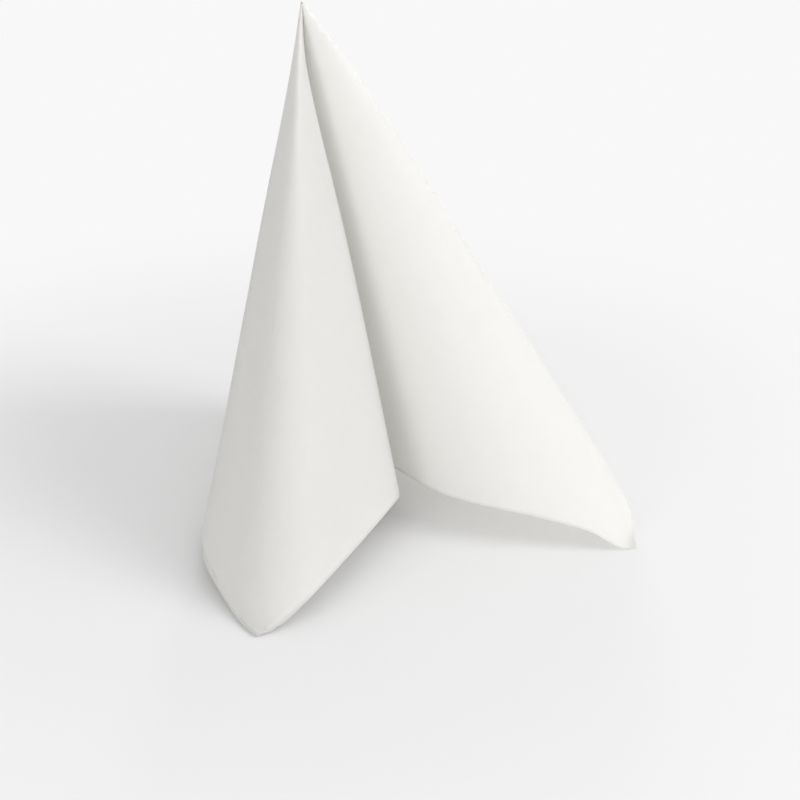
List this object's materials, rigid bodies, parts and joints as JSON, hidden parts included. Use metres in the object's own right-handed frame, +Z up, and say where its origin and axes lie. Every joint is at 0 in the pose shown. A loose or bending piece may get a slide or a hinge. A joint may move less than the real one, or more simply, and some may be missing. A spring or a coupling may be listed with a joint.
{
  "type": "paper napkin",
  "caption": "White square paper napkin, folded in quarters, opened at one pocket and stood up as a hollow peak.",
  "frame": {"origin": "middle of the napkin's box, on the surface that it stands on", "axes": "+Z up to the apex, -Y to the front where the valley opens, +X to the lobe with one ply"},
  "size_m": [0.1938, 0.1776, 0.1996],
  "materials": {
    "paper": "matte"
  },
  "bodies": {
    "root": {"napkin": "paper"}
  },
  "joints": []
}
